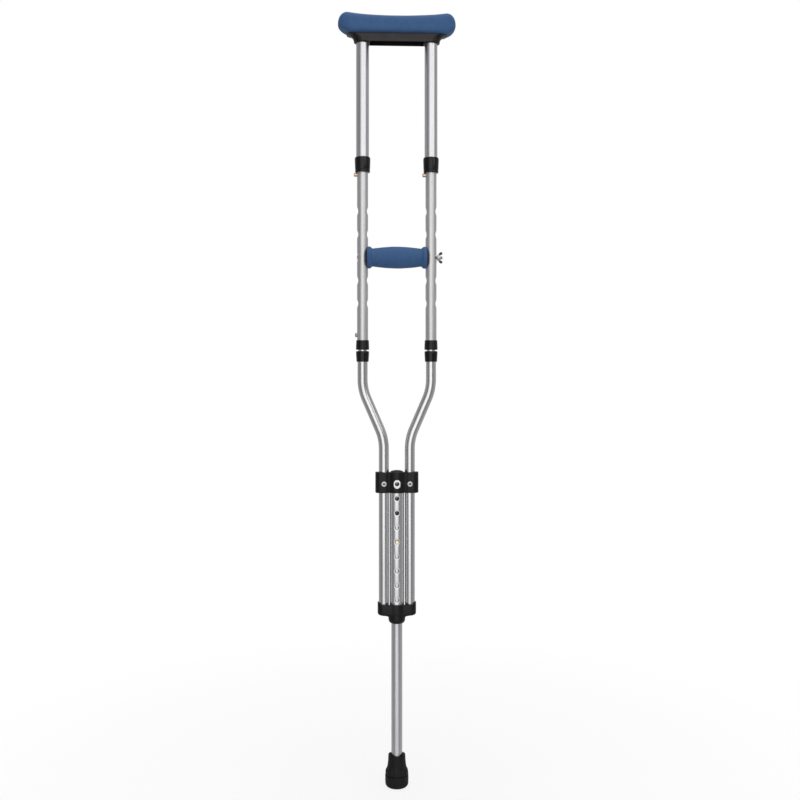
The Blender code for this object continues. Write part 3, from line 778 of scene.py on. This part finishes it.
# ---- tip ----
def tip():
    radius = half_size("leg_tip").y
    height = heights("leg_tip")[HIGH]
    floor = heights("tip_washer")[LOW] - GAP
    socket = LEG_RADIUS + GAP
    tread, rib = 0.0014, 0.0011
    outline = [(0, tread)]
    for ring in (0.0048, 0.0092, 0.0136):
        outline += [(ring - rib - 0.0004, tread), (ring - rib, 0), (ring + rib, 0),
                    (ring + rib + 0.0004, tread)]
    outline += [(0.0158, tread), (0.0164, 0.0004), (0.0176, 0.0011), (0.0188, 0.0024),
                (0.0196, 0.0038), (0.0199, 0.0046), (0.0196, 0.0050), (0.0197, 0.0056),
                (radius - 0.0002, 0.0060), (radius, 0.0078), (radius - 0.0005, 0.0083),
                (radius - 0.0005, 0.0087), (radius, 0.0092), (radius, 0.0196),
                (radius - 0.0006, 0.0202), (radius - 0.0018, 0.0205), (radius - 0.0018, 0.0214),
                (radius - 0.0006, 0.0218), (0.0200, 0.0230), (0.0199, 0.0252), (0.0194, 0.0278),
                (0.0183, 0.0302), (0.0171, 0.0322), (0.0163, 0.0352), (0.0157, 0.0395),
                (0.0152, 0.0445), (0.0149, 0.0495), (0.0148, height - 0.0006),
                (0.0145, height + 0.0008),
                (0.0138, height + 0.0014), (0.0128, height + 0.0012), (0.0116, height + 0.0004),
                (0.0106, height - 0.0008), (0.0101, height - 0.0026), (socket, height - 0.0062),
                (socket, floor), (0, floor)]
    shape = turned(softened(outline, 0.0007, 3, closed=False), VERY_FINE, closed=False)
    flutes, flute_depth, flute_middle, flute_reach = 16, 0.0011, 0.0272, 0.0062
    inner_skin = 0.0150                  # flutes press only what lies outside it
    sag, sag_reach = 0.0022, 0.0090      # the rim sags in front and at the back
    for vert in shape.verts:
        r = Vector((vert.co.x, vert.co.y))
        if r.length < 0.0001:
            continue
        outward, angle = r.normalized(), atan2(r.y, r.x)
        band = eased(1.6 * (1 - abs(vert.co.z - flute_middle) / flute_reach))
        if r.length > inner_skin:
            press = flute_depth * band * (0.5 + 0.5 * cos(flutes * angle)) ** 2
            vert.co.x -= outward.x * press
            vert.co.y -= outward.y * press
        vert.co.z -= sag * outward.y ** 2 * eased((vert.co.z - height + sag_reach) / sag_reach)
    piece("leg_tip_fine", shape, RUBBER, "leg_tip", sharp=60)
    low, high = heights("tip_washer")
    shape = turned(softened([(0.0022, low), (LEG_RADIUS, low), (LEG_RADIUS, high), (0.0022, high)]),
                   SMALL)
    piece("tip_washer_fine", shape, ZINC, "tip_washer")


# ---- snap buttons and their springs ----
def stud(foot, head, radius, place):
    """A drawn, domed stud with its flange behind the wall; the place's +Z is where it points."""
    dome = 0.0014
    outline = [(0, foot), (radius + 0.0009, foot), (radius + 0.0009, foot + 0.0008),
               (radius + 0.0001, foot + 0.0011), (radius, foot + 0.0016), (radius, head - dome)]
    outline += [(radius - dome * (1 - cos(a)), head - dome + dome * sin(a))
                for a in np.linspace(0.25, pi / 2, 6)]
    outline += [(0.35 * radius, head - 0.00005), (0, head - 0.0002)]
    return turned(outline, SMALL, place, closed=False)


def spring(foot, bore, length, place):
    """A strip folded into a hairpin: its arms bear on the stud's flange and on the far wall."""
    thick, width = 0.0005, 0.0044
    near, far = foot - GAP - thick / 2, -(bore - 0.0007 - thick / 2)
    fold = 0.0017
    line = [(near, 0.0062), (near, -0.0062), (fold, -length + fold)]
    line += [(fold * cos(a), -length + fold - fold * sin(a)) for a in np.linspace(0.2, pi - 0.2, 8)]
    line += [(-fold, -length + fold), (far, 0.0040), (far + 0.0006, 0.0062)]
    points = [Vector((out, 0, along)) for out, along in line]
    rings = []
    for k, point in enumerate(points):
        before, after = points[max(k - 1, 0)], points[min(k + 1, len(points) - 1)]
        run = (after - before).normalized()
        normal = Vector((-run.z, 0, run.x)) * thick / 2
        across = Vector((0, width / 2, 0))
        corners = (normal + across, normal - across, -normal - across, -normal + across)
        rings.append([point + c for c in corners])
    return capped([[p.zyx for p in ring] for ring in rings], place)


def lock_place(joint, x, z):
    """A snap lock's place: +Z points out along the stud, against the way that it is pressed."""
    axis = Vector(JOINTS[joint]["axis"])
    return at(x, 0, z) @ Matrix.Rotation(atan2(axis.y, axis.x), 4, "Z") @ OUTWARD


def snap_locks():
    locks = [
        ("leg_button", "leg_clip", 0.0, LEG_BUTTON_Z, LEG_STUD_RADIUS, CENTRE_RADIUS + 0.0035,
         LEG_RADIUS - 0.0013, 0.030, "leg_button_press"),
        ("joint_button", "joint_clip", -SPREAD, JOINT_BUTTON_Z, STUD_RADIUS, MID_RADIUS + 0.0035,
         JOINER_RADIUS - WALL, 0.030, "joint_button_press"),
    ]
    for side, name in SIDES:
        locks.append(("upper_button_" + name, "upper_clip_" + name, side * SPREAD, UPPER_BUTTON_Z,
                      STUD_RADIUS, MID_RADIUS + 0.0055, MID_RADIUS - WALL, 0.034,
                      f"upper_button_{name}_press"))
    for button, clip, x, z, radius, head, bore, length, joint in locks:
        place = lock_place(joint, x, z)
        foot = bore - 0.0030
        # The leg button's paler brass is a painted highlight; the joint button's darker brass is
        # painted shade.
        finish = {"joint_button": SHADED_BRASS, "leg_button": LIT_BRASS}.get(button, BRASS)
        piece(button + "_fine", stud(foot, head, radius, place), finish, button)
        strip = piece(clip + "_fine", spring(foot, bore, length, place), ZINC, clip)
        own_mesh(strip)


# ---- grip ----
SADDLE_INNER = 0.0447
SADDLE_RADIUS = 0.0170
FLANGE_RADIUS = 0.0190
NECK_RADIUS = 0.0153
FLANGE_START = 0.0446
GRIP_BORE = 0.0110


def tube_notches():
    return [rod(MID_RADIUS + GAP, -CUT_REACH, CUT_REACH, FINE, at(side * SPREAD, 0, GRIP_Z))
            for side in (-1, 1)]


def grip_sleeve():
    half = half_size("grip_sleeve").x
    neck, reach = 0.0412, 0.0430
    swell = [(NECK_RADIUS + (FLANGE_RADIUS - NECK_RADIUS) * cos(pi / 2 * x / reach) ** 0.85, x)
             for x in np.linspace(-neck, neck, 41)]
    flange = [(NECK_RADIUS + 0.0006, FLANGE_START - 0.0016), (FLANGE_RADIUS - 0.0012, FLANGE_START),
              (FLANGE_RADIUS, FLANGE_START + 0.0018), (FLANGE_RADIUS, half - 0.0020),
              (FLANGE_RADIUS - 0.0014, half)]
    inner = [(SADDLE_RADIUS + GAP, half), (SADDLE_RADIUS + GAP, SADDLE_INNER - GAP),
             (GRIP_BORE, SADDLE_INNER - GAP)]
    mirrored = [(r, -x) for r, x in reversed(flange)]
    inner_left = [(r, -x) for r, x in reversed(inner)]
    outline = softened(mirrored + swell + flange + inner + inner_left, 0.0012, 4)
    shape = turned(outline, VERY_FINE, at(0, 0, GRIP_Z) @ ALONG_X)
    for vert in shape.verts:
        out = Vector((0, vert.co.y, vert.co.z - GRIP_Z))
        if out.length > SADDLE_RADIUS * 0.85 and abs(vert.co.x) < FLANGE_START:
            give = noise.noise(vert.co * 60) * 0.0002
            vert.co += out.normalized() * (give - 0.0001)
    made = piece("grip_sleeve_soft", carved(shape, tube_notches()), BLUE, "grip_sleeve", sharp=50)


def grip_hardware():
    half = half_size("grip_core").x
    outer = half_size("grip_core").y
    core = [(GRIP_HOLE_RADIUS, -half), (outer, -half), (outer, half), (GRIP_HOLE_RADIUS, half)]
    seat = at(0, 0, GRIP_Z) @ ALONG_X
    piece("grip_core_fine", turned(softened(core), MEDIUM, seat), BLACK, "grip_core")
    dome = [(0.0152 + 0.0018 * cos(a), 0.0500 + 0.0043 * sin(a)) for a in np.linspace(0, pi / 2, 6)]
    cap = [(GRIP_HOLE_RADIUS, SADDLE_INNER), (SADDLE_RADIUS, SADDLE_INNER), *dome,
           (0.0100, 0.0545), (GRIP_HOLE_RADIUS, 0.0545)]
    for side, name in SIDES:
        place = at(0, 0, GRIP_Z) @ Matrix.Rotation(side * pi / 2, 4, "Y")
        shape = turned(softened(cap, 0.0005), FINE, place)
        piece("grip_saddle_fine_" + name, carved(shape, tube_notches()), BLACK,
              "grip_saddle_" + name)


def grip_bolt():
    wall = SPREAD + MID_RADIUS
    seat_depth = DIMPLE[1]
    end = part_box("grip_bolt")[HIGH].x
    bolt, root, pitch = 0.0028, 0.0024, 0.0010
    head_face = -(wall - seat_depth) - GAP
    outline = [(0, head_face - 0.0013), (0.0020, head_face - 0.0013), (0.0036, head_face - 0.0010),
               (0.0044, head_face - 0.0002), (0.0043, head_face), (bolt, head_face)]
    thread_start = wall - 0.006
    outline.append((bolt, thread_start))
    turns = int((end - 0.0008 - thread_start) / pitch)
    for k in range(turns):
        x = thread_start + k * pitch
        outline += [(root, x + 0.30 * pitch), (bolt, x + 0.80 * pitch)]
    outline += [(0.0022, end), (0, end)]
    shape = turned(outline, SMALL, at(0, 0, GRIP_Z) @ ALONG_X, closed=False)
    piece("grip_bolt_fine", shape, ZINC, "grip_bolt", sharp=25)
    low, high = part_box("grip_washer")
    washer = [(GRIP_HOLE_RADIUS, low.x), (0.0062, low.x), (0.0062, high.x),
              (GRIP_HOLE_RADIUS, high.x)]
    piece("grip_washer_fine", turned(softened(washer, 0.0003), MEDIUM, at(0, 0, GRIP_Z) @ ALONG_X),
          ZINC, "grip_washer")


def wing_nut():
    start, length, hub_reach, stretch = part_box("wing_nut")[LOW].x, 0.0052, 0.0046, 1.09
    hub = [(GRIP_HOLE_RADIUS, 0), (0.0041, 0), (0.0042, 0.0007), (0.0040, 0.0012),
           (0.0038, length - 0.0006), (0.0036, length), (GRIP_HOLE_RADIUS, length)]
    place = at(start, 0, GRIP_Z) @ ALONG_X
    body = turned(softened(hub, 0.0003), MEDIUM, place)
    stations = [  # along the bolt, out from it, half width, half thickness
        (0.0012, 0.0034, 0.0011, 0.0012), (0.0017, 0.0043, 0.0008, 0.0009),
        (0.0023, 0.0050, 0.0010, 0.0009), (0.0030, 0.0056, 0.0016, 0.0011),
        (0.0038, 0.0062, 0.0022, 0.0013), (0.0046, 0.0068, 0.0025, 0.0013),
        (0.0054, 0.0074, 0.0026, 0.0013), (0.0062, 0.0080, 0.0024, 0.0012),
        (0.0068, 0.0086, 0.0018, 0.0010), (0.0073, 0.0090, 0.0010, 0.0006),
        (0.0075, 0.0092, 0.0003, 0.0003),
    ]
    wings = []
    for side in (-1, 1):
        rings = []
        for k, (along, out, wide, thick) in enumerate(stations):
            a, b = stations[max(k - 1, 0)], stations[min(k + 1, len(stations) - 1)]
            run = Vector((b[0] - a[0], 0, side * (b[1] - a[1]))).normalized()
            across = Vector((run.z, 0, -run.x))
            centre = Vector((start + stretch * along, 0, GRIP_Z + side * out))
            rings.append([centre + across * wide * cos(t) + Vector((0, thick * sin(t), 0))
                          for t in np.arange(24) * 2 * pi / 24])
        wings.append(capped(rings))
    body = carved(body, wings, "UNION")
    body = carved(body, [rod(GRIP_HOLE_RADIUS, -CUT_PAST, CUT_REACH, MEDIUM, place)])
    # Faces out beyond the hub take the dark steel as painted shade on the wings; the hub keeps the
    # zinc.
    for face in body.faces:
        face.material_index = int(abs(face.calc_center_median().z - GRIP_Z) > hub_reach)
    made = piece("wing_nut_fine", body, ZINC, "wing_nut", sharp=45)
    made.data.materials.append(SHADED_STEEL)


# ---- underarm section ----
def pad_bracket():
    low, high = heights("pad_bracket")
    half_top = half_size("pad_bracket").x
    half_bottom, depth = 0.0745, half_size("pad_bracket").y
    flare, rise = half_top - half_bottom, high - low
    corner, steps = 0.0136, 8
    rings = [rounded_rectangle(half_bottom - 0.0009, depth - 0.0009, corner - 0.0009, low),
             rounded_rectangle(half_bottom - 0.0002, depth - 0.0003, corner - 0.0002,
                               low + 0.0003)]
    for a in np.linspace(0, pi / 2, steps + 1):
        rings.append(rounded_rectangle(half_bottom + flare * (1 - cos(a)),
                                       depth - 0.0004 * sin(2 * a), corner,
                                       low + 0.0010 + (rise - 0.0020) * sin(a)))
    rings.append(rounded_rectangle(half_top, depth, corner, high - 0.0003))
    rings.append(rounded_rectangle(half_top - 0.0003, depth - 0.0003, corner, high))
    body = capped(rings)
    socket_top = heights("upper_tube_left")[HIGH] + GAP
    for side in (-1, 1):
        rim = turned([(0, low - 0.0010), (0.0130, low - 0.0010), (0.0136, low + 0.0030),
                      (0, low + 0.0030)], MEDIUM, at(side * SPREAD), closed=False)
        body = carved(body, [rim], "UNION")
    hollow, wall, inner_corner, shade_end = 0.0474, 0.0022, 0.003, 0.0612
    cavity = capped([
        rounded_rectangle(hollow, depth - wall, inner_corner, low - CUT_PAST),
        rounded_rectangle(hollow - 0.0008, depth - wall - 0.0004, inner_corner, high - 0.0035)])
    sockets = [rod(UPPER_RADIUS + GAP, low - CUT_PAST, socket_top, MEDIUM, at(side * SPREAD))
               for side in (-1, 1)]
    body = carved(body, sockets + [cavity])
    # The hollow, the underside and the flared ends take the black plastic as painted shade; the rest
    # keeps the brown.
    for face in body.faces:
        x, y, z = face.calc_center_median()
        in_hollow = abs(x) < hollow + 0.0002 and abs(y) < depth - wall + 0.0002
        dark = (in_hollow and z < high - 0.0030) or abs(x) > shade_end or z < low + 0.0001
        face.material_index = int(dark)
    made = piece("pad_bracket_fine", body, BROWN, "pad_bracket", sharp=30)
    made.data.materials.append(BLACK)


def pad_profile(x):
    """(top, bottom, half depth) of the pad at a distance along it."""
    half = half_size("underarm_pad").x
    bracket_top = heights("pad_bracket")[HIGH]
    horn, saddle, level = 0.0860, 1.3318, 1.3185
    top_high = heights("underarm_pad")[HIGH] - 0.0008
    t = abs(x)

    def rounding(start, power):
        along = min(1.0, max(0.0, (t - start) / (half - start)))
        return sqrt(1 - along ** power)

    top = saddle + (top_high - saddle) * min(t / horn, 1.0) ** 2.3
    top = level + (top - level) * (0.04 + 0.96 * rounding(horn, 2.2))
    lift = 0.0040 * eased((-x - 0.070) / 0.030)
    bottom = level - (level - bracket_top - GAP - lift) * (0.04 + 0.96 * rounding(0.0770, 2.2))
    depth = half_size("underarm_pad").y - 0.0022 * (t / half) ** 2
    return top, bottom, depth * (0.16 + 0.84 * rounding(0.0740, 2.3))


def underarm_pad():
    half = half_size("underarm_pad").x
    around, along = 80, 141
    crown, base, side_crown = 0.60, 0.36, 0.50      # powers of its superellipse, above and below
    stations = half * 0.9995 * np.sin(np.linspace(-1, 1, along) * pi / 2)
    rings = []
    for x in stations:
        top, bottom, depth = pad_profile(x)
        centre, tall = (top + bottom) / 2, (top - bottom) / 2
        ring = []
        for k in range(around):
            a = 2 * pi * k / around
            c, s = cos(a), sin(a)
            across = np.sign(c) * abs(c) ** (side_crown if s > 0 else base)
            up = np.sign(s) * abs(s) ** (crown if s > 0 else base)
            point = Vector((x, depth * across * (1 - 0.04 * max(0.0, up)), centre + tall * up))
            point.z += noise.noise(point * 28) * 0.0004 * max(0.0, up)
            point.y += noise.noise(point * 33 + Vector((7, 3, 1))) * 0.0003
            ring.append(point)
        rings.append(ring)
    made = piece("underarm_pad_soft", capped(rings), BLUE, "underarm_pad", sharp=75)


# ---- stage, light and camera ----
FLOOR_RADIUS = 1.0
FLOOR_ALPHA = 0.17
FLOOR_FADE = (0.05 * FLOOR_RADIUS, 0.9 * FLOOR_RADIUS)
ROOM_COLOUR = (0.98, 0.985, 1.0, 1)
ROOM_LEVEL = 0.375
ROOM_SLOPE = (0.04, 0.18, -0.06)  # how much brighter the room is to the right, behind and above


def stage():
    """A pale floor that fades out at its rim, in a white room."""
    bm = bmesh.new()
    bmesh.ops.create_circle(bm, cap_ends=True, segments=FINE, radius=FLOOR_RADIUS)
    mesh = bpy.data.meshes.new("floor")
    bm.to_mesh(mesh)
    bm.free()
    floor = bpy.data.objects.new("floor", mesh)
    bpy.context.scene.collection.objects.link(floor)
    made = Finish("pale_floor", (0.93, 0.93, 0.93), 0.9)
    length = made.node("ShaderNodeVectorMath", operation="LENGTH")
    made.link(made.place, length.inputs[0])
    fade = made.spread(length.outputs["Value"], FLOOR_ALPHA, 0.0, *FLOOR_FADE)
    made.link(fade, made.shader.inputs["Alpha"])
    mesh.materials.append(made.material)
    # The floor rides with the leg, so the crutch stands on it at every length.
    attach(floor, "leg")


def room():
    """White where the camera sees it; for what the metal mirrors, dim in front and pale behind."""
    world = bpy.data.worlds.new("room")
    bpy.context.scene.world = world
    world.use_nodes = True
    tree = world.node_tree
    tree.nodes.clear()
    link = tree.links.new
    output = new_node(tree, "ShaderNodeOutputWorld")
    seen = new_node(tree, "ShaderNodeBackground", Color=(1, 1, 1, 1), Strength=1.0)
    lit = new_node(tree, "ShaderNodeBackground", Color=ROOM_COLOUR)
    direction = new_node(tree, "ShaderNodeTexCoord").outputs["Generated"]
    slope = new_node(tree, "ShaderNodeVectorMath", operation="DOT_PRODUCT")
    slope.inputs[1].default_value = ROOM_SLOPE
    link(direction, slope.inputs[0])
    level = new_node(tree, "ShaderNodeMath", operation="ADD")
    level.inputs[1].default_value = ROOM_LEVEL
    link(slope.outputs["Value"], level.inputs[0])
    link(level.outputs[0], lit.inputs["Strength"])
    path = new_node(tree, "ShaderNodeLightPath")
    mix = new_node(tree, "ShaderNodeMixShader")
    link(path.outputs["Is Camera Ray"], mix.inputs["Fac"])
    link(lit.outputs["Background"], mix.inputs[1])
    link(seen.outputs["Background"], mix.inputs[2])
    link(mix.outputs["Shader"], output.inputs["Surface"])


def panel(name, where, target, size, radiance):
    """A soft box; its power follows from its area, so that it looks equally bright at any size."""
    light = bpy.data.lights.new(name, "AREA")
    light.shape = "RECTANGLE"
    light.size, light.size_y = size
    light.energy = radiance * pi * size[0] * size[1]
    made = bpy.data.objects.new(name, light)
    made.location = where
    made.rotation_euler = (Vector(target) - Vector(where)).to_track_quat("-Z", "Y").to_euler()
    bpy.context.scene.collection.objects.link(made)


PANELS = [  # name, place, aim, width and height, radiance
    ("front_panel", (-0.13, -2.2, 1.30), (-0.13, 0, 1.30), (1.76, 2.60), 1.24),
    ("left_panel", (-1.46, -2.2, 1.30), (-1.46, 0, 1.30), (0.90, 2.60), 0.62),
    ("low_panel", (-0.16, -2.2, -0.275), (-0.16, 0, -0.275), (1.95, 0.55), 0.86),
    ("floor_glow", (-0.10, -2.2, -0.85), (-0.10, 0, -0.85), (3.40, 0.60), 0.76),
    ("right_panel", (1.72, -2.1, 1.95), (0.05, 0, 1.20), (1.70, 1.50), 1.35),
    ("top_panel", (0.0, -0.2, 2.9), (0.0, 0, 0), (2.4, 2.0), 1.6),
]


def lights():
    for row in PANELS:
        panel(*row)


CAMERA_DISTANCE = 1.70
AZIMUTH = radians(-2.5)  # the lens stands this far to the crutch's left
HORIZON = 0.738          # height of the lens
FRAME_CENTRE = (0.0055, 0.669)
FRAME_WIDTH = 1.388      # width of the view where the crutch stands
SENSOR = 36.0


def camera():
    data = bpy.data.cameras.new("camera")
    data.sensor_width = SENSOR
    data.lens = SENSOR * CAMERA_DISTANCE / FRAME_WIDTH
    data.shift_y = (FRAME_CENTRE[1] - HORIZON) / FRAME_WIDTH
    made = bpy.data.objects.new("camera", data)
    turn = Matrix.Rotation(AZIMUTH, 4, "Z")
    made.matrix_world = turn @ at(FRAME_CENTRE[0], -CAMERA_DISTANCE, HORIZON) @ ALONG_FRONT
    bpy.context.scene.collection.objects.link(made)
    bpy.context.scene.camera = made


camera()
room()
lights()
stage()
leg_tube()
centre_tube()
mid_tubes()
upper_tubes()
bows()
collars()
top_bracket()
rivets()
centre_cap()
bottom_bracket()
tip()
snap_locks()
grip_sleeve()
grip_hardware()
grip_bolt()
wing_nut()
pad_bracket()
underarm_pad()
bpy.context.scene.view_settings.view_transform = "Standard"
